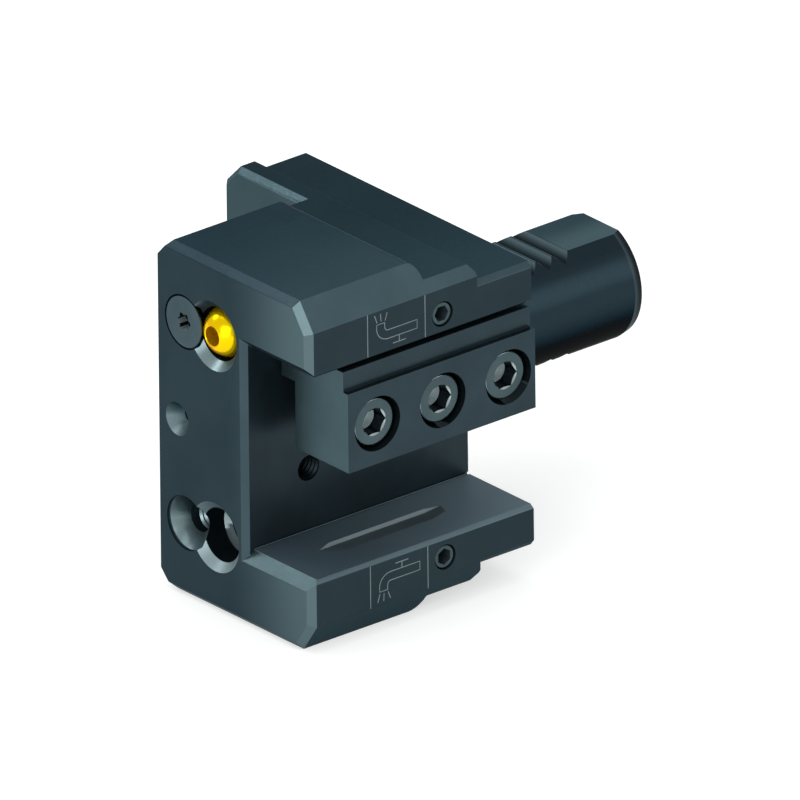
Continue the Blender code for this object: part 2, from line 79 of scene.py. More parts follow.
def new_steel(name, pale, dark, rough, grain, metallic=0.85, relief=0.08, painted_light_tone=None, flat_angle="#a5b5ba"):
    """Blackened steel: a satin skin of dark oxide, clouded by the salt bath, with fine tool marks.

    A tone of painted light or shade takes over along an axis, by place in metres or by the way the surface faces.
    The oxide stays dark at a flat angle too, unlike bare steel.
    """
    material = bpy.data.materials.new(name)
    material.use_nodes = True
    tree = material.node_tree
    shader = tree.nodes["Principled BSDF"]
    where = add(tree, "ShaderNodeTexCoord")
    place = where.outputs["Object"]
    clouds = add(tree, "ShaderNodeTexNoise", {"Scale": CLOUDS, "Detail": 4.0, "Roughness": 0.55},
                 {"Vector": place})
    tone = add(tree, "ShaderNodeValToRGB", {}, {"Fac": clouds.outputs["Fac"]})
    tone.color_ramp.elements[0].position, tone.color_ramp.elements[0].color = 0.36, linear(dark)
    tone.color_ramp.elements[1].position, tone.color_ramp.elements[1].color = 0.66, linear(pale)
    stretch = add(tree, "ShaderNodeMapping", {"Scale": grain}, {"Vector": place})
    marks = add(tree, "ShaderNodeTexNoise", {"Scale": 1.0, "Detail": 3.0, "Roughness": 0.6},
                {"Vector": stretch.outputs["Vector"]})
    gloss = add(tree, "ShaderNodeMapRange", {"From Min": 0.3, "From Max": 0.7, "To Min": rough - 0.035,
                                             "To Max": rough + 0.035}, {"Value": marks.outputs["Fac"]})
    bump = add(tree, "ShaderNodeBump", {"Strength": relief, "Distance": 0.02 * MM},
               {"Height": marks.outputs["Fac"]})
    colour = tone.outputs["Color"]
    # Painted light and shade: a tone blended in by place or by which way the face looks.
    if painted_light_tone:
        painted_colour, source, axis, first, last = painted_light_tone
        parts = add(tree, "ShaderNodeSeparateXYZ", {}, {"Vector": where.outputs[source]})
        painted_share = add(tree, "ShaderNodeMapRange", {"interpolation_type": "SMOOTHSTEP", "From Min": first,
                                                 "From Max": last}, {"Value": parts.outputs[axis]})
        blend = add(tree, "ShaderNodeMix", {"data_type": "RGBA", 7: linear(painted_colour)},
                    {0: painted_share.outputs["Result"], 6: colour})
        colour = blend.outputs[2]
    tree.links.new(colour, shader.inputs["Base Color"])
    tree.links.new(gloss.outputs["Result"], shader.inputs["Roughness"])
    tree.links.new(bump.outputs["Normal"], shader.inputs["Normal"])
    shader.inputs["Metallic"].default_value = metallic
    shader.inputs["Specular Tint"].default_value = linear(flat_angle)
    return material


def take(piece):
    """Makes one piece the only selected one, and the active one."""
    for thing in bpy.context.selected_objects:
        thing.select_set(False)
    piece.select_set(True)
    bpy.context.view_layer.objects.active = piece
    return piece


def pick(piece, kind, test):
    """Opens a piece for editing, with only those of its edges or faces selected that pass a test."""
    take(piece)
    bpy.ops.object.mode_set(mode="EDIT")
    bpy.ops.mesh.select_mode(type=kind)
    bpy.ops.mesh.select_all(action="DESELECT")
    bpy.ops.object.mode_set(mode="OBJECT")
    points = piece.data.vertices
    for part in piece.data.edges if kind == "EDGE" else piece.data.polygons:
        part.select = test(part, [points[i].co for i in part.vertices])
    bpy.ops.object.mode_set(mode="EDIT")


def smooth(piece, angle=21):
    """Shades a piece smooth up to an angle, and lets its larger faces keep their true direction."""
    take(piece)
    bpy.ops.object.shade_smooth_by_angle(angle=math.radians(angle))
    weigh = piece.modifiers.new("true_faces", "WEIGHTED_NORMAL")
    weigh.weight = 100
    weigh.keep_sharp = True
    bpy.ops.object.modifier_apply(modifier=weigh.name)
    return piece


def whole_faces(piece):
    """Merges a piece's double corners and its flat neighbours, so that each flat is one face."""
    take(piece)
    bpy.ops.object.mode_set(mode="EDIT")
    bpy.ops.mesh.select_all(action="SELECT")
    bpy.ops.mesh.remove_doubles(threshold=0.002 * MM)
    bpy.ops.mesh.dissolve_limited(angle_limit=math.radians(0.6))
    bpy.ops.mesh.dissolve_degenerate(threshold=0.004 * MM)
    bpy.ops.object.mode_set(mode="OBJECT")
    return piece


def machined(node, name, finish):
    """A copy of a CAD node as whole faces, so that its edges can be worked on."""
    piece = nodes[node].copy()
    piece.data = nodes[node].data.copy()
    piece.name = piece.data.name = name
    bpy.context.scene.collection.objects.link(piece)
    piece.parent = None
    piece.matrix_world = Matrix.Identity(4)
    piece.data.materials.clear()
    piece.data.materials.append(finish)
    return whole_faces(piece)


def break_edges(piece, until=1.0):
    """Breaks a piece's longer sharp edges, as far as they lie in front of a Y, to a bevel of 0.1 mm."""
    shortest = 2.4 * MM
    take(piece)
    bpy.ops.object.mode_set(mode="EDIT")
    bpy.ops.mesh.select_mode(type="EDGE")
    bpy.ops.mesh.select_all(action="DESELECT")
    bpy.ops.mesh.edges_select_sharp(sharpness=math.radians(24))
    bpy.ops.object.mode_set(mode="OBJECT")
    points = piece.data.vertices
    for part in piece.data.edges:
        ends = [points[i].co for i in part.vertices]
        if (ends[0] - ends[1]).length < shortest or max(end.y for end in ends) > until:
            part.select = False
    bpy.ops.object.mode_set(mode="EDIT")
    bpy.ops.mesh.bevel(offset=0.10 * MM, segments=2, affect="EDGES")
    bpy.ops.object.mode_set(mode="OBJECT")
    return smooth(piece)


def cut(piece, tool, how="DIFFERENCE"):
    """Cuts a tool out of a piece, or joins it on, and takes the tool away."""
    take(piece)
    work = piece.modifiers.new("cut", "BOOLEAN")
    work.operation = how
    work.solver = "EXACT"
    work.object = tool
    bpy.ops.object.modifier_apply(modifier=work.name)
    bpy.data.objects.remove(tool)
    return piece


def turn_to(axis):
    """The rotation that points a primitive's own +Z along +X or -Y."""
    return (0.0, math.pi / 2, 0.0) if axis == "X" else (math.pi / 2, 0.0, 0.0)


def rod(sides, across, length, middle, axis):
    """A plain bar of round or six-sided stock, with its place in its mesh."""
    if bpy.context.object:
        take(bpy.context.object)
    bpy.ops.mesh.primitive_cylinder_add(vertices=sides, radius=across / 2, depth=length,
                                        location=middle, rotation=turn_to(axis))
    bpy.ops.object.transform_apply(location=True, rotation=True, scale=True)
    return bpy.context.object


def grasp(piece, places):
    """Opens a piece for editing, with only its corners at some places, in millimetres, selected."""
    take(piece)
    bpy.ops.object.mode_set(mode="EDIT")
    bpy.ops.mesh.select_mode(type="VERT")
    bpy.ops.mesh.select_all(action="DESELECT")
    bpy.ops.object.mode_set(mode="OBJECT")
    for point in piece.data.vertices:
        point.select = any((point.co / MM - Vector(place)).length < 0.03 for place in places)
    bpy.ops.object.mode_set(mode="EDIT")


def finish_faces(piece, finish, test):
    """Gives a finish to the faces whose middle, in millimetres, and direction pass a test."""
    piece.data.materials.append(finish)
    for face in piece.data.polygons:
        if test(face.center / MM, face.normal):
            face.material_index = len(piece.data.materials) - 1


def off_axis(at, x, z):
    """How far a point is from the axis of a bore along Y that is mirrored from top to bottom, in millimetres."""
    return math.hypot(at.x - x, abs(at.z) - z)


def inward(at, direction):
    """How far a face looks to the middle height: 1 on the slot's seats, -1 on the head's top and bottom."""
    return -direction.z if at.z > 0.0 else direction.z


# Milled faces: a dark satin, with painted light that makes them paler towards the open side.
body_steel = new_steel("blackened_milled_steel", "#293840", "#25323a", 0.38, MILLED,
                       painted_light_tone=("#36464d", "Object", "X", 0.0, 0.038))
# The front is face-milled in wide sweeps. Painted light makes it paler towards the open side, more strongly than the
# rest.
front_steel = new_steel("blackened_steel_front_painted_light", "#2d3b41", "#28363c", 0.38, MILLED,
                        painted_light_tone=("#506368", "Object", "X", 0.012, 0.038))
# The right side is milled with the flank of the cutter. It is painted darker, as the shade that it lies in: even and
# dark.
side_steel = new_steel("blackened_steel_side_painted_shade", "#2c393f", "#27343a", 0.38, MILLED)
# Bevels are cut in one light pass, so they are finer. They are painted paler than the faces beside them, as the
# light that they catch.
bevel_steel = new_steel("blackened_steel_bevel_painted_light", "#41535a", "#3b4c52", 0.34, MILLED)
# The bevels at the front corners are painted the palest edges, as the light that they catch, and paler still where
# they face to the right.
corner_steel = new_steel("blackened_steel_corner_painted_light", "#4e6165", "#475a5e", 0.34, MILLED,
                         painted_light_tone=("#586c70", "Normal", "X", 0.3, 0.7))
# The lower bevel gets no light from above, so it is painted as a dark band of shade.
under_steel = new_steel("blackened_steel_lower_bevel_painted_shade", "#2d383c", "#293337", 0.36, MILLED)
# The seats are ground across: smoother and duller. They are painted paler than the body as the light in the slot,
# and paler still to the rear.
seat_steel = new_steel("blackened_steel_ground_seat", "#4b5c65", "#44555e", 0.40, GROUND_SEAT, 0.2,
                       painted_light_tone=("#687c86", "Object", "Y", -0.046, -0.002))
# The bevel along the seat is cut after the grinding, in one light pass. It is painted as a pale band, for the light
# that it catches.
seat_edge_steel = new_steel("blackened_steel_seat_edge_painted_light", "#6f838a", "#667a81", 0.36, MILLED)
# The pocket in the seat is milled after the grinding. Its floor is painted darker as shade, and its slanted wall
# paler as the light that it catches.
pocket_steel = new_steel("blackened_steel_pocket_floor_painted_shade", "#4b585e", "#434f55", 0.40, GROUND_SEAT, 0.2)
wall_steel = new_steel("blackened_steel_wall_painted_light", "#839296", "#78878b", 0.36, GROUND_SEAT, 0.2)
# The step behind the head is milled to depth. It is painted darker than the top as shade, and paler towards the open
# side as light.
step_steel = new_steel("blackened_steel_milled_step", "#222f36", "#1e2b31", 0.38, MILLED,
                       painted_light_tone=("#2d3c43", "Object", "X", 0.0, 0.038))
# The flange's shoulder faces the light, so it is painted as a paler strip.
rib_steel = new_steel("blackened_steel_shoulder_painted_light", "#3f5156", "#38494e", 0.38, MILLED)
# The web is milled deep in the slot: glossier, and painted nearly black as the shade in the slot.
web_steel = new_steel("blackened_steel_slot_wall_painted_shade", "#28353b", "#202b31", 0.36, (900.0, 600.0, 4200.0), 0.6)
# The shank is ground round: the glossiest steel. It is painted black below as shade, and paler from its side upwards
# as light.
shank_steel = new_steel("blackened_steel_ground_round", "#141b1f", "#11171a", 0.30, GROUND_SHANK, 0.92,
                        painted_light_tone=("#26343b", "Normal", "Z", -0.75, 0.1), flat_angle="#343f43")
# The lead-in at the shank's end is turned. It is painted pale at its inner edge as a highlight, and dark at the rim
# as shade.
lead_in_steel = new_steel("blackened_steel_turned_lead_in", "#3a494f", "#354349", 0.36, TURNED, 0.6,
                          painted_light_tone=("#10171a", "Object", "Y", 0.0466, 0.0480))
# The flat on the shank is ground: even, and painted paler to the right as light.
flat_steel = new_steel("blackened_steel_ground_flat", "#38474e", "#334148", 0.34, GROUND_SHANK,
                       painted_light_tone=("#4a5c61", "Object", "X", -0.004, 0.004))
# The teeth are milled with a formed cutter. They are painted black in the gaps as shade, and pale at the crests as
# light.
tooth_steel = new_steel("blackened_steel_milled_teeth", "#141f24", "#121c20", 0.36, GROUND_SHANK,
                        painted_light_tone=("#52646a", "Object", "Z", 0.0096, 0.0110))
# The cone in front of a nozzle is bored. It is painted as a soft pale ring of light, brighter on its lower half.
cone_steel = new_steel("blackened_steel_bored_cone", "#667a7f", "#5e7176", 0.42, TURNED, 0.6, 0.02,
                       painted_light_tone=("#8a9da1", "Normal", "Z", -0.25, 0.35))
# Sinks are cut with a countersink: glossier than the cone, and painted with a brighter lower half of light too.
sink_steel = new_steel("blackened_steel_countersunk", "#4f6165", "#485a5e", 0.30, TURNED, 0.8, 0.02,
                       painted_light_tone=("#7b8f93", "Normal", "Z", -0.25, 0.35))
# Drilled holes are dull, and painted nearly black as the shade in them. The groove along the web is painted the
# darkest of all, as the deepest shade.
drilled_steel = new_steel("blackened_steel_drilled_painted_shade", "#242e33", "#1e272b", 0.45, TURNED)
relief_steel = new_steel("blackened_steel_relief_painted_shade", "#0c1012", "#090c0e", 0.5, TURNED)
# The ball's own seat is polished by the ball, so it is shiny. It is painted pale, as the light on it.
ball_seat_steel = new_steel("blackened_steel_bored_seat_painted_light", "#9fb0b3", "#93a4a7", 0.22, TURNED, 0.6, 0.02)

# The long bevels at the head's left corners are smaller in the photo than in the CAD, 3.4 by 3.7 mm, so their points
# are moved. Each is given as from and to, in millimetres, for the upper half. The lower half is its mirror.
BEVEL_MOVES = (((-7.3, -55.5, 30.8), (-7.3, -55.5, 32.9)), ((-7.3, -19.2, 30.8), (-7.3, -18.3, 32.9)),
               ((-6.47, -19.2, 32.0), (-7.3, -19.2, 32.0)), ((-5.64, -25.4, 33.2), (-7.02, -25.4, 33.2)),
               ((-5.64, -18.0, 33.2), (-7.02, -18.0, 33.2)), ((-4.92, -25.53, 34.25), (-6.06, -25.53, 34.25)),
               ((-4.27, -55.5, 35.2), (-5.19, -55.5, 35.2)), ((-4.27, -25.92, 35.2), (-5.19, -25.92, 35.2)),
               ((-3.75, -26.51, 35.95), (-4.5, -26.51, 35.95)), ((-3.41, -27.27, 36.43), (-4.06, -27.27, 36.43)),
               ((-3.3, -54.1, 36.6), (-3.9, -54.1, 36.6)), ((-3.3, -28.1, 36.6), (-3.9, -28.1, 36.6)))
FRONT_Y, SIDE_X, WEB_X, SEAT_Z = -55.5, 37.6, 18.1, 21.2  # the head's faces, in millimetres
SEAT_FRONT_Y = -53.3
holder = machined("holder_body", "holder", body_steel)
for side in (1, -1):
    for start, end in BEVEL_MOVES:
        grasp(holder, [(start[0], start[1], side * start[2])])
        shift = Vector((end[0] - start[0], end[1] - start[1], side * (end[2] - start[2])))
        bpy.ops.transform.translate(value=shift * MM)
        bpy.ops.object.mode_set(mode="OBJECT")
    # At the seat's front corner the cut along the web's edge runs on under the seat. The small notch that it leaves
    # is taken out, and the front and the seat's bevel are closed over it.
    low, floor, top = side * -23.4, side * -22.2, side * -SEAT_Z
    tip, near, ledge = (16.9, FRONT_Y, low), (20.1, FRONT_Y, low), (WEB_X, -54.3, floor)
    inner, outer, back, rear = ((WEB_X, SEAT_FRONT_Y, top), (19.1, SEAT_FRONT_Y, top), (20.1, SEAT_FRONT_Y, top),
                                (20.1, -52.3, top))
    grasp(holder, [tip, ledge])
    bpy.ops.mesh.vert_connect()
    bpy.ops.object.mode_set(mode="OBJECT")
    pick(holder, "FACE", lambda face, ends: all(16.8 < end.x / MM < 20.2 and -55.6 < end.y / MM < -52.2
                                                and -23.5 < side * end.z / MM < -21.1 for end in ends))
    bpy.ops.mesh.delete(type="FACE")
    bpy.ops.object.mode_set(mode="OBJECT")
    for places in ((tip, near, back, outer, inner, ledge), (outer, back, rear)):
        grasp(holder, places)
        bpy.ops.mesh.edge_face_add()
        bpy.ops.object.mode_set(mode="OBJECT")
whole_faces(holder)
bpy.ops.object.mode_set(mode="EDIT")
bpy.ops.mesh.select_all(action="SELECT")
bpy.ops.mesh.normals_make_consistent(inside=False)
bpy.ops.object.mode_set(mode="OBJECT")
break_edges(holder, until=-0.1 * MM)

# A narrow groove runs where each seat meets the web, so that a tool's sharp corner has room.
GROOVE_ACROSS, GROOVE_LENGTH = 0.7, 56.0
for side in (1, -1):
    middle = (WEB_X * MM, (SEAT_FRONT_Y + GROOVE_LENGTH / 2) * MM, side * SEAT_Z * MM)
    groove = rod(24, GROOVE_ACROSS * MM, GROOVE_LENGTH * MM, middle, "Y")
    groove.data.materials.append(relief_steel)
    cut(holder, groove)
smooth(holder)

# Each face gets a finish by where it lies and which way it faces; most of these tones are painted light or shade. A
# later rule takes over from an earlier one.
NOZZLE_X, SINK_X, BORES_Z = 9.1, 0.4, 21.1  # the axes of the nozzle seats and of their screws' sinks
TEETH_Y = (19.0, 36.0)
POCKET_X = (24.0, 31.0)
finish_faces(holder, shank_steel, lambda at, direction: at.y > 0.1)
finish_faces(holder, lead_in_steel, lambda at, direction: at.y > 46.7 and 0.1 < direction.y < 0.9)
finish_faces(holder, flat_steel, lambda at, direction: at.y > 0.1 and abs(at.z) > 10.7
             and abs(direction.z) > 0.95)
finish_faces(holder, tooth_steel, lambda at, direction: TEETH_Y[0] < at.y < TEETH_Y[1]
             and 8.5 < abs(at.z) < 10.8 and abs(direction.y) > 0.2)
finish_faces(holder, bevel_steel, lambda at, direction: at.y < 0.1 and at.x > 16.5 and direction.x > 0.3
             and max(abs(direction.y), abs(direction.z)) > 0.3)
finish_faces(holder, under_steel, lambda at, direction: at.y < 0.1 and at.x > 16.5 and at.z < -25.0
             and direction.x > 0.3 and direction.z < -0.3)
finish_faces(holder, front_steel, lambda at, direction: at.y < FRONT_Y + 0.2 and direction.y < -0.95)
finish_faces(holder, side_steel, lambda at, direction: at.x > SIDE_X - 0.2 and direction.x > 0.95)
finish_faces(holder, bevel_steel, lambda at, direction: direction.y < -0.3 and direction.z > 0.3
             and at.z > 30.0 and at.x < -7.3)
finish_faces(holder, corner_steel, lambda at, direction: direction.y < -0.3
             and (direction.z > 0.3 and -24.0 < at.z < -20.5 and at.x > 15.0 or direction.x > 0.3 and at.x > 33.0))
finish_faces(holder, seat_steel, lambda at, direction: at.x > WEB_X + 0.5 and 20.4 < abs(at.z) < 22.0
             and inward(at, direction) > (0.5 if at.z < 0.0 else 0.9))
finish_faces(holder, side_steel, lambda at, direction: at.x > 36.0 and 20.4 < at.z < 22.0 and direction.x > 0.3)
finish_faces(holder, seat_edge_steel, lambda at, direction: 36.6 < at.x < 37.5 and -22.0 < at.z < -20.4
             and 0.3 < direction.x < 0.95)
finish_faces(holder, pocket_steel, lambda at, direction: POCKET_X[0] < at.x < POCKET_X[1]
             and 21.22 < abs(at.z) < 22.0 and inward(at, direction) > 0.9)
finish_faces(holder, wall_steel, lambda at, direction: POCKET_X[0] < at.x < POCKET_X[1]
             and 21.22 < abs(at.z) < 22.0 and 0.3 < inward(at, direction) < 0.9)
finish_faces(holder, step_steel, lambda at, direction: -27.9 < at.y < 0.1 and abs(at.z) > 28.0
             and abs(direction.z) > 0.5 and direction.x < 0.3 and direction.y > -0.3)
finish_faces(holder, rib_steel, lambda at, direction: -19.4 < at.y < -19.0 and direction.y < -0.9)
finish_faces(holder, web_steel, lambda at, direction: WEB_X - 0.2 < at.x < WEB_X + 0.1 and direction.x > 0.95)
finish_faces(holder, drilled_steel, lambda at, direction: FRONT_Y + 0.1 < at.y < -45.0
             and off_axis(at, NOZZLE_X, BORES_Z) < 5.7)
finish_faces(holder, ball_seat_steel, lambda at, direction: FRONT_Y + 0.1 < at.y < -45.0 and direction.y < -0.4
             and off_axis(at, NOZZLE_X, BORES_Z) < 5.7)
finish_faces(holder, sink_steel, lambda at, direction: -54.9 < at.y < -51.5 and -0.95 < direction.y < -0.3
             and off_axis(at, SINK_X, BORES_Z) < 5.7)
finish_faces(holder, cone_steel, lambda at, direction: FRONT_Y < at.y < -53.7 and -0.95 < direction.y < -0.3
             and 5.3 < off_axis(at, NOZZLE_X, BORES_Z) < 7.4)
# The upper cone is painted darker like the sinks, as the shade that the ball casts on it. The centre hole in the
# front gets the sinks' painted light and shade too.
finish_faces(holder, sink_steel, lambda at, direction: FRONT_Y < at.y < -52.0 and -0.95 < direction.y < -0.3
             and (at.z > 0.0 and 5.3 < off_axis(at, NOZZLE_X, BORES_Z) < 7.4 or math.hypot(at.x + 1.8, at.z) < 3.6))
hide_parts("holder_body")
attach(holder, "holder")

# Clamp bar
# A strip of the same steel, milled with a ledge on its outer side and a lip towards the web, and blackened. The
# heads of its three screws sit in counterbores.
SCREWS_Y, SCREWS_Z = (-39.6, -23.3, -7.0), 8.2  # the screws' axes, in millimetres

# The bar is drawn stock, with grain along it: a little paler than the milled body.
bar_steel = new_steel("blackened_bar_stock", "#334147", "#2d3a40", 0.34, (500.0, 500.0, 5200.0))
# Its end is sawn and milled flat, and faces the light, so it is painted paler again.
sawn_steel = new_steel("blackened_bar_end_painted_light", "#495d62", "#415459", 0.36, MILLED)
bar = break_edges(machined("clamp_bar", "bar", bar_steel))
finish_faces(bar, sawn_steel, lambda at, direction: at.y < -46.8 and direction.y < -0.9)
# The counterbores take the drilled holes' painted shade.
finish_faces(bar, drilled_steel, lambda at, direction: at.x < 38.8
             and min(math.hypot(at.y - y, at.z - SCREWS_Z) for y in SCREWS_Y) < 5.8)
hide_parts("clamp_bar")
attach(bar, "clamp")

# Clamp screws
# Three M6 socket head cap screws, cold headed, with a broached hexagon and a rolled thread. They are blackened and
# lightly oiled, so the turned rims of their sockets shine. The thread shows between bar and web.
HEAD_HEIGHT = 6.0 * MM
SOCKET_ACROSS = 5.0 * MM
THREAD_ACROSS = 6.0 * MM
THREAD_PITCH = 1.0 * MM
THREAD_ROOT = 2.5 * MM  # the ridge starts a hair under the screw's core, so that no gap shows
SHANK_REACH = 25.0 * MM
LAP = 0.2 * MM


def countersink(inner, outer, depth, middle, axis):
    """A cutter shaped as a cone: its wider end is the one that the axis points to."""
    bpy.ops.mesh.primitive_cone_add(vertices=64, radius1=inner / 2, radius2=outer / 2, depth=depth,
                                    location=middle, rotation=turn_to(axis))
    bpy.ops.object.transform_apply(location=True, rotation=True, scale=True)
    return bpy.context.object


def thread_ridge(name, start, axis, radius, height, turns):
    """The ridge of a thread, wound along +X or +Y from a point on its axis. A negative height points inwards."""
    across = Vector((0.0, 0.0, 1.0))
    bpy.ops.mesh.primitive_circle_add(vertices=3, radius=0.5 * THREAD_PITCH, fill_type="NOTHING",
                                      location=start)
    ridge = bpy.context.object
    ridge.name = name
    along = Vector((1.0, 0.0, 0.0)) if axis == "X" else Vector((0.0, 1.0, 0.0))
    foot = along * 0.42 * THREAD_PITCH
    corners = (across * radius - foot, across * radius + foot, across * (radius + height))
    for vertex, corner in zip(ridge.data.vertices, corners):
        vertex.co = corner
    wind = ridge.modifiers.new("wind", "SCREW")
    wind.axis = axis
    wind.screw_offset = THREAD_PITCH
    wind.iterations = turns
    wind.steps = wind.render_steps = 40
    bpy.ops.object.modifier_apply(modifier=wind.name)
    bpy.ops.object.mode_set(mode="EDIT")
    bpy.ops.mesh.select_mode(type="EDGE")
    bpy.ops.mesh.select_all(action="DESELECT")
    bpy.ops.mesh.select_non_manifold()
    bpy.ops.mesh.fill_holes(sides=4)
    bpy.ops.mesh.select_all(action="SELECT")
    bpy.ops.mesh.normals_make_consistent(inside=False)
    bpy.ops.object.mode_set(mode="OBJECT")
    bpy.ops.object.transform_apply(location=True, rotation=True, scale=True)
    return ridge


# The head is cold formed and barrel-blackened: smooth, and a little paler than the bar.
screw_steel = new_steel("blackened_cold_headed_steel", "#4a5a5f", "#3a494e", 0.27, (3000.0, 900.0, 900.0))
# The rims are turned, in rings drawn 0.4 mm apart, and oiled: thin bright lines.
socket_steel = new_steel("oiled_turned_rim_steel", "#a9b6b8", "#98a5a7", 0.22, (400.0, 2600.0, 2600.0), 1.0)
# The broached walls of the hexagon have marks along the screw: glossy, and painted dark as the shade in the socket.
# dark and glossy.
broached_steel = new_steel("blackened_broached_steel_painted_shade", "#232a30", "#1b2126", 0.30, (400.0, 2600.0, 2600.0), 0.7)
# The floor is left by a drill's point. It is painted pale as a highlight, the brightest spot of the socket, and
# greyer where it faces up.
floor_steel = new_steel("drill_point_steel_painted_highlight", "#dff2f4", "#cfe6e9", 0.25, (2600.0, 600.0, 600.0), 0.2,
                        painted_light_tone=("#83979a", "Normal", "Z", -0.05, 0.4))
for word in ("front", "middle", "rear"):
    node = f"clamp_screw_{word}"
    low, high = (Vector(corner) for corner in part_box(node))
    face = Vector((high.x, (low.y + high.y) / 2, (low.z + high.z) / 2))
    head_across = high.z - low.z
    screw = rod(96, head_across, HEAD_HEIGHT, face - Vector((HEAD_HEIGHT / 2, 0, 0)), "X")
    screw.name = f"cap_screw_{word}"
    pick(screw, "EDGE", lambda edge, ends: all(end.x > face.x - 0.01 * MM for end in ends))
    bpy.ops.mesh.bevel(offset=0.45 * MM, segments=3, affect="EDGES")
    bpy.ops.object.mode_set(mode="OBJECT")
    for finish in (screw_steel, broached_steel, floor_steel, socket_steel):
        screw.data.materials.append(finish)
    shank_middle = face - Vector((HEAD_HEIGHT + (SHANK_REACH - LAP) / 2, 0, 0))
    shank = rod(64, THREAD_ACROSS - 0.9 * THREAD_PITCH, SHANK_REACH + LAP, shank_middle, "X")
    pick(shank, "EDGE", lambda edge, ends: all(end.x < low.x + 0.01 * MM for end in ends))
    bpy.ops.mesh.bevel(offset=0.5 * MM, segments=1, affect="EDGES")
    bpy.ops.object.mode_set(mode="OBJECT")
    cut(screw, shank, "UNION")
    hexagon = rod(6, SOCKET_ACROSS / math.cos(math.pi / 6), 4 * MM, face - Vector((1 * MM, 0, 0)), "X")
    point = countersink(0.4 * MM, SOCKET_ACROSS, 1.3 * MM, face - Vector((3.6 * MM, 0, 0)), "X")
    mouth = countersink(SOCKET_ACROSS, SOCKET_ACROSS + 1.4 * MM, 0.6 * MM, face, "X")
    for tool, finish in ((hexagon, broached_steel), (point, floor_steel), (mouth, socket_steel)):
        tool.data.materials.append(finish)
        cut(screw, tool)
    thread = thread_ridge("thread", face - Vector((19.6 * MM, 0, 0)), "X", THREAD_ROOT, 0.5 * MM, 6)
    thread.data.materials.append(screw_steel)
    take(screw)
    thread.select_set(True)
    bpy.ops.object.join()
    rim = head_across / 2 - 0.5 * MM
    finish_faces(screw, socket_steel, lambda at, direction: 0.25 < direction.x < 0.96
                 and math.hypot(at.y * MM - face.y, at.z * MM - face.z) > rim)
    smooth(screw, 30)
    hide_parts(node)
    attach(screw, f"screw_{word}")

# Nozzle ball
# A ball turned from free-cutting brass and drilled through, which a pin in its bore swivels. It sits in a bored
# seat, under the edge of the screw's head.
BALL_BORE = 4.0 * MM
low, high = (Vector(corner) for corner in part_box("nozzle_ball"))
middle = (low + high) / 2
ball_across = high.x - low.x
bpy.ops.mesh.primitive_uv_sphere_add(segments=96, ring_count=64, radius=ball_across / 2,
                                     location=middle, rotation=turn_to("Y"))
bpy.ops.object.transform_apply(location=True, rotation=True, scale=True)
ball = bpy.context.object
ball.name = "brass_ball"


def new_brass(name, pale, dark, rough, grain):
    """Brass as the lathe left it: clean yellow metal with clouds of 4 mm and fine rings round the ball's bore."""
    material = bpy.data.materials.new(name)
    material.use_nodes = True
    tree = material.node_tree
    shader = tree.nodes["Principled BSDF"]
    place = add(tree, "ShaderNodeTexCoord").outputs["Object"]
    clouds = add(tree, "ShaderNodeTexNoise", {"Scale": 240.0, "Detail": 3.0}, {"Vector": place})
    tone = add(tree, "ShaderNodeValToRGB", {}, {"Fac": clouds.outputs["Fac"]})
    tone.color_ramp.elements[0].position, tone.color_ramp.elements[0].color = 0.35, linear(dark)
    tone.color_ramp.elements[1].position, tone.color_ramp.elements[1].color = 0.65, linear(pale)
    rings = add(tree, "ShaderNodeTexWave", {"wave_type": "BANDS", "bands_direction": "Y", "Scale": grain,
                                            "Distortion": 0.6, "Detail": 1.0}, {"Vector": place})
    gloss = add(tree, "ShaderNodeMapRange", {"To Min": rough - 0.03, "To Max": rough + 0.03},
                {"Value": rings.outputs["Fac"]})
    bump = add(tree, "ShaderNodeBump", {"Strength": 0.01, "Distance": 0.01 * MM},
               {"Height": rings.outputs["Fac"]})
    tree.links.new(tone.outputs["Color"], shader.inputs["Base Color"])
    tree.links.new(gloss.outputs["Result"], shader.inputs["Roughness"])
    tree.links.new(bump.outputs["Normal"], shader.inputs["Normal"])
    shader.inputs["Metallic"].default_value = 0.82
    shader.inputs["Specular Tint"].default_value = linear("#ffa428")
    return material


# Turned and bright: a warm yellow with a sharp highlight. Its rings are drawn 0.35 mm apart, coarser than real ones.
ball_brass = new_brass("turned_brass", "#ffdb0a", "#ffd008", 0.22, 900.0)
# The bore is left by the drill, in rings drawn 0.2 mm apart: duller, and painted a darker orange as the shade in it.
# duller and more orange.
bore_brass = new_brass("drilled_brass_painted_shade", "#e08a10", "#d07e0c", 0.45, 1600.0)
ball.data.materials.append(ball_brass)
mouth = Vector((middle.x, low.y + 0.05 * MM, middle.z))
for tool in (rod(64, BALL_BORE, 14 * MM, middle, "Y"),
             countersink(BALL_BORE - 0.4 * MM, BALL_BORE + 1.4 * MM, 0.6 * MM, mouth, "Y")):
    tool.data.materials.append(bore_brass)
    cut(ball, tool)
smooth(ball, 30)
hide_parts("nozzle_ball")
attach(ball, "nozzle")

# Nozzle screw
# A countersunk screw with a six-lobed socket, of the same steel as the clamp screws. The edge of its head overlaps
# the ball and keeps it in its seat.
hold_screw = smooth(machined("nozzle_screw", "countersunk_screw", screw_steel))
# The six-lobed socket takes the broached walls' painted shade, and its walls that face up the pale wall steel, as
# painted light.
finish_faces(hold_screw, broached_steel, lambda at, direction: at.y > FRONT_Y + 0.2
             and off_axis(at, SINK_X, BORES_Z) < 2.0)
finish_faces(hold_screw, wall_steel, lambda at, direction: FRONT_Y + 0.2 < at.y < -53.4 and direction.z > 0.3
             and off_axis(at, SINK_X, BORES_Z) < 2.0)
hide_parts("nozzle_screw")
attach(hold_screw, "nozzle_hold_screw")

# Coolant plugs
# Two turned steel plugs with a broached hexagon socket, flush with the right side. A quarter-turn opens or shuts
# each one's port.
PLUG_Y, PLUG_Z = -22.1, 25.5

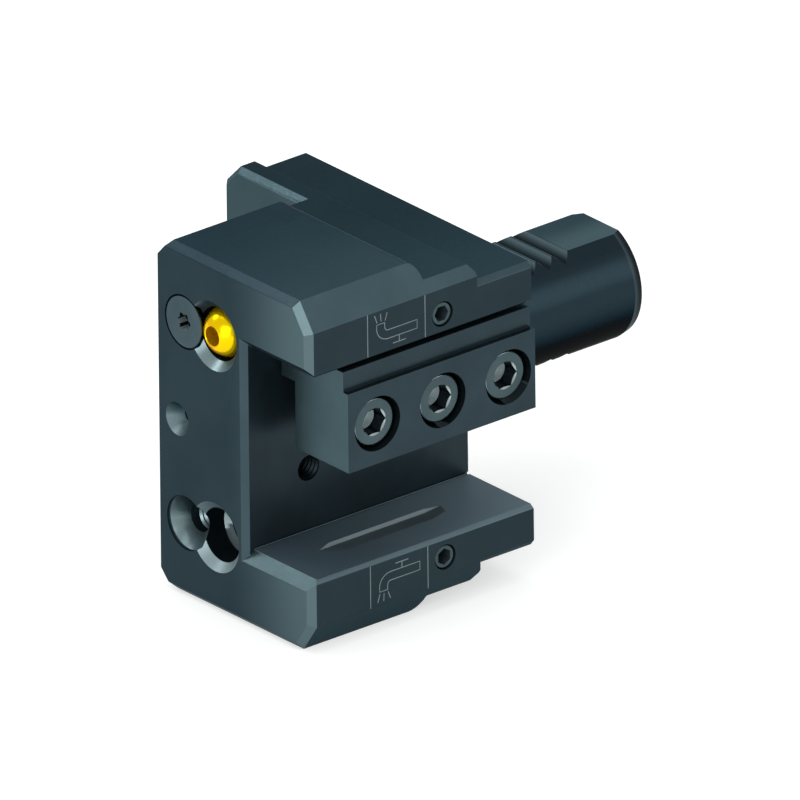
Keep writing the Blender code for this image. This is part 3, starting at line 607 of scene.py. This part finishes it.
# The plugs' sockets are small and shallow, so some light gets in: they are painted a dull dark grey for it, paler
# than the screws' sockets.
plug_socket_steel = new_steel("blackened_steel_broached_plug_painted_light", "#39464b", "#323e43", 0.40, TURNED, 0.2)
for word in ("upper", "lower"):
    plug = smooth(machined(f"valve_spindle_{word}", f"coolant_plug_{word}", screw_steel))
    finish_faces(plug, plug_socket_steel, lambda at, direction: 34.0 < at.x < 37.25
                 and math.hypot(at.y - PLUG_Y, abs(at.z) - PLUG_Z) < 1.75)
    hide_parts(f"valve_spindle_{word}")
    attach(plug, f"valve_{word}")

# Seals
# Moulded nitrile rubber rings behind the ball, round each plug and round the shank. They are matt black, with a fine
# grain of dust drawn at 1.1 mm, coarser than the real one.
rubber = bpy.data.materials.new("moulded_nitrile_rubber")
rubber.use_nodes = True
tree = rubber.node_tree
shader = tree.nodes["Principled BSDF"]
place = add(tree, "ShaderNodeTexCoord").outputs["Object"]
dust = add(tree, "ShaderNodeTexNoise", {"Scale": 900.0, "Detail": 4.0}, {"Vector": place})
tone = add(tree, "ShaderNodeValToRGB", {}, {"Fac": dust.outputs["Fac"]})
tone.color_ramp.elements[0].position, tone.color_ramp.elements[0].color = 0.35, linear("#141718")
tone.color_ramp.elements[1].position, tone.color_ramp.elements[1].color = 0.70, linear("#1e2224")
gloss = add(tree, "ShaderNodeMapRange", {"To Min": 0.55, "To Max": 0.75}, {"Value": dust.outputs["Fac"]})
bump = add(tree, "ShaderNodeBump", {"Strength": 0.15, "Distance": 0.02 * MM},
           {"Height": dust.outputs["Fac"]})
tree.links.new(tone.outputs["Color"], shader.inputs["Base Color"])
tree.links.new(gloss.outputs["Result"], shader.inputs["Roughness"])
tree.links.new(bump.outputs["Normal"], shader.inputs["Normal"])
for name in ("nozzle_seal", "valve_seal_upper", "valve_seal_lower", "flange_seal"):
    nodes[name].data.materials.clear()
    nodes[name].data.materials.append(rubber)

# Threads of the empty tapped holes
# The lower nozzle has no screw, and the web's lower row of holes waits for the bar, which also fits at the bottom
# of the slot. Each hole shows the M6 thread that a tap cut in it.
TAPPED_RADIUS = 2.68 * MM
low, high = (Vector(corner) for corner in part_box("nozzle_screw"))
hole = Vector(((low.x + high.x) / 2, low.y + 5.2 * MM, -(low.z + high.z) / 2))
tapped = [thread_ridge("tapped_thread_nozzle", hole, "Y", TAPPED_RADIUS, -0.42 * MM, 7)]
for word in ("front", "middle", "rear"):
    low, high = (Vector(corner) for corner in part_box(f"clamp_screw_{word}"))
    hole = Vector(((WEB_X - 6.5) * MM, (low.y + high.y) / 2, -(low.z + high.z) / 2))
    tapped.append(thread_ridge(f"tapped_thread_{word}", hole, "X", TAPPED_RADIUS, -0.34 * MM, 6))
for thread in tapped:
    # The nozzle's thread takes the sinks' painted light and shade, and the web's threads the drilled holes' painted
    # shade.
    thread.data.materials.append(sink_steel if thread == tapped[0] else drilled_steel)
    smooth(thread, 30)
    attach(thread, "holder")

# Signs
# Two hairlines and a running tap are marked by laser on the right side of each beam. They show where each nozzle's
# coolant is opened and shut. Each line is 0.2 mm wide and stands a hair proud of the side.
LINE_WIDTH = 0.2 * MM

# The laser turns the oxide into a dry pale grey that doesn't shine.
mark_grey = new_steel("laser_marked_steel", "#8c979a", "#7a8589", 0.6, (2000.0, 2000.0, 2000.0), 0.0)


def bend(centre, wide, high, first, last, steps=12):
    """Points on a quarter of an oval, as Y and Z in millimetres."""
    angles = [math.radians(first + (last - first) * i / steps) for i in range(steps + 1)]
    return [(centre[0] + wide * math.cos(a), centre[1] + high * math.sin(a)) for a in angles]


pipe_inner = [(-36.45, 28.0)] + bend((-35.6, 27.1), 0.85, 0.85, 180, 270) + [(-28.4, 26.25)]
pipe_outer = [(-38.45, 28.0)] + bend((-35.6, 27.1), 2.85, 2.65, 180, 270) + [(-28.4, 24.45)]
tap_lines = {"hairline_front": [(-40.7, 21.95), (-40.7, 30.75)],
             "hairline_rear": [(-26.4, 21.95), (-26.4, 30.75)],
             "pipe": pipe_inner + pipe_outer[::-1] + [(-36.45, 28.0)],
             "stem": [(-32.85, 24.45), (-32.85, 23.1)],
             "handle": [(-34.45, 23.1), (-31.25, 23.1)],
             "drop_front": [(-38.95, 30.1), (-38.35, 28.4)],
             "drop_middle": [(-37.45, 30.1), (-37.35, 28.5)],
             "drop_rear": [(-35.8, 29.95), (-36.35, 28.4)]}
for word, side in (("upper", 1), ("lower", -1)):
    strokes = []
    for name, points in tap_lines.items():
        stroke = bpy.data.curves.new(name, "CURVE")
        stroke.dimensions = "3D"
        stroke.bevel_depth = LINE_WIDTH / 2
        stroke.bevel_resolution = 2
        stroke.use_fill_caps = True
        line = stroke.splines.new("POLY")
        line.points.add(len(points) - 1)
        for point, (y, z) in zip(line.points, points):
            point.co = (SIDE_X * MM, y * MM, side * z * MM, 1.0)
        strokes.append(bpy.data.objects.new(name, stroke))
        bpy.context.scene.collection.objects.link(strokes[-1])
    take(strokes[0])
    for stroke in strokes:
        stroke.select_set(True)
    bpy.ops.object.convert(target="MESH")
    bpy.ops.object.join()
    sign = bpy.context.object
    sign.name = f"tap_sign_{word}"
    bpy.ops.object.mode_set(mode="EDIT")
    bpy.ops.mesh.select_all(action="SELECT")
    bpy.ops.transform.resize(value=(0.12, 1.0, 1.0), center_override=(SIDE_X * MM, 0.0, 0.0))
    bpy.ops.object.mode_set(mode="OBJECT")
    sign.data.materials.clear()
    sign.data.materials.append(mark_grey)
    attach(sign, "holder")

# Floor
# A sheet of white paper under the holder. The camera and mirror-like reflections see it as plain white, and the
# holder's shadow still falls on it.
take(bpy.context.object)
FLOOR_Z = -36.65 * MM  # a hair under the holder's lowest face
bpy.ops.mesh.primitive_plane_add(size=6.0, location=(0.03, 0, FLOOR_Z))
floor = bpy.context.object
floor.name = "floor"
paper = bpy.data.materials.new("white_paper")
paper.use_nodes = True
tree = paper.node_tree
shader = tree.nodes["Principled BSDF"]
shader.inputs["Base Color"].default_value = linear("#d4d6d6")
shader.inputs["Roughness"].default_value = 0.9
shader.inputs["Specular IOR Level"].default_value = 0.0
out = tree.nodes["Material Output"]
ray = add(tree, "ShaderNodeLightPath")
glossy = add(tree, "ShaderNodeMath", {"operation": "MAXIMUM"},
             {0: ray.outputs["Is Camera Ray"], 1: ray.outputs["Is Glossy Ray"]})
seen = add(tree, "ShaderNodeMath", {"operation": "MAXIMUM"},
           {0: glossy.outputs[0], 1: ray.outputs["Is Transmission Ray"]})
strength = add(tree, "ShaderNodeMath", {"operation": "MULTIPLY", 1: 0.55}, {0: seen.outputs[0]})
glow = add(tree, "ShaderNodeEmission", {"Color": (1, 1, 1, 1)}, {"Strength": strength.outputs[0]})
both = add(tree, "ShaderNodeAddShader", {}, {0: shader.outputs[0], 1: glow.outputs[0]})
tree.links.new(both.outputs[0], out.inputs["Surface"])
floor.data.materials.append(paper)

# Light
# An even studio: a soft white room, and large soft boxes above, in front, at the left, behind and at the right.
# They stay out of the camera's sight and leave only broad highlights.
world = bpy.data.worlds.new("studio")
bpy.context.scene.world = world
world.use_nodes = True
room = world.node_tree.nodes["Background"]
room.inputs["Color"].default_value = (1.0, 1.0, 1.0, 1.0)
room.inputs["Strength"].default_value = 0.7


def soft_box(name, at, aim, size, watts):
    """A square soft box at a point, turned towards another."""
    at, aim = Vector(at), Vector(aim)
    turn = (aim - at).to_track_quat("-Z", "Y").to_euler()
    bpy.ops.object.light_add(type="AREA", location=at, rotation=turn)
    lamp = bpy.context.object
    lamp.name = name
    lamp.data.shape = "SQUARE"
    lamp.data.size = size
    lamp.data.energy = watts
    lamp.visible_camera = False
    return lamp


soft_box("box_above", (-0.10, -0.05, 0.75), (0.01, -0.01, 0.0), 0.7, 1.2)
soft_box("box_front", (0.35, -0.75, 0.25), (0.01, -0.03, 0.0), 0.5, 2.2)
soft_box("box_left", (-0.55, -0.33, 0.46), (0.01, -0.03, 0.0), 0.2, 0.55)
soft_box("box_back", (-0.60, 0.50, 0.35), (0.01, -0.01, 0.0), 0.5, 0.3)
soft_box("box_right", (0.60, 0.45, 0.25), (0.01, -0.01, 0.0), 0.4, 0.7)

# Camera
# The photo's view is parallel, from the front right and above, at azimuth 50.4 and elevation 24.5 degrees. Its 800
# pixels span 152.83 mm at the holder.
PICTURE_SPAN = 152.83 * MM
right = Vector((0.6413, 0.7673, -0.0104)).normalized()
back = right.cross(Vector((-0.3115, 0.2727, 0.9103))).normalized()
up = back.cross(right)
turn = Matrix((right, up, back)).transposed().to_euler()
bpy.ops.object.camera_add(location=Vector((32.65, -28.77, 7.76)) * MM + back * 0.6, rotation=turn)
camera = bpy.context.object
camera.data.type = "ORTHO"
camera.data.ortho_scale = PICTURE_SPAN
camera.data.clip_start, camera.data.clip_end = 0.01, 20.0
bpy.context.scene.camera = camera
bpy.context.scene.view_settings.view_transform = "Standard"
